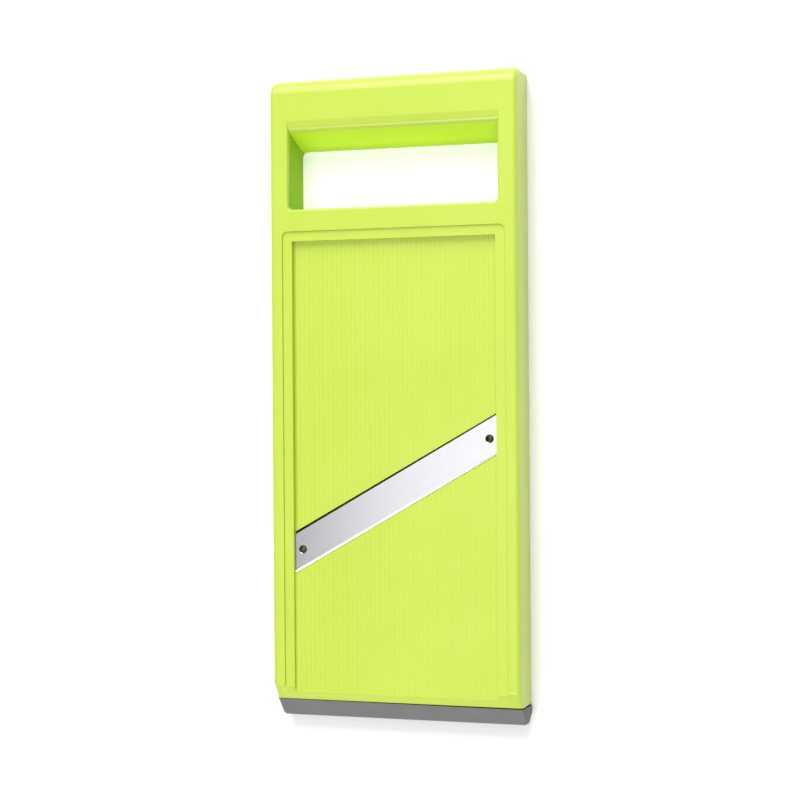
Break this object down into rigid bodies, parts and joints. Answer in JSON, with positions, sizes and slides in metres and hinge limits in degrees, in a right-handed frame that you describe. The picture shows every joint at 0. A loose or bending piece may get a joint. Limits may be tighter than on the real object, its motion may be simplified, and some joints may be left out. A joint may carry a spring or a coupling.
{
  "type": "mandoline slicer",
  "caption": "Flat plastic mandoline slicer with a hand window, a ribbed stepped deck, a diagonal steel blade and a soft wedge foot.",
  "frame": {"origin": "centre of the underside of the bounding box, on the surface that the slicer lies on", "axes": "+Y towards the handle, +Z out of the slicing face, +X to the right when the slicing face is seen with the handle up"},
  "size_m": [0.1368, 0.3416, 0.024],
  "materials": {
    "lime_abs": "satin gloss moulded ABS",
    "blade_steel": "fine ground stainless",
    "grey_tpe": "matte soft elastomer",
    "screw_steel": "phosphated and oiled"
  },
  "bodies": {
    "root": {"frame": "lime_abs", "deck": "lime_abs", "blade": "blade_steel", "foot_cap": "grey_tpe", "blade_screw_left": "screw_steel", "blade_screw_right": "screw_steel", "deck_screw_foot_left": "screw_steel", "deck_screw_foot_right": "screw_steel", "deck_screw_grip_left": "screw_steel", "deck_screw_grip_right": "screw_steel"}
  },
  "joints": []
}
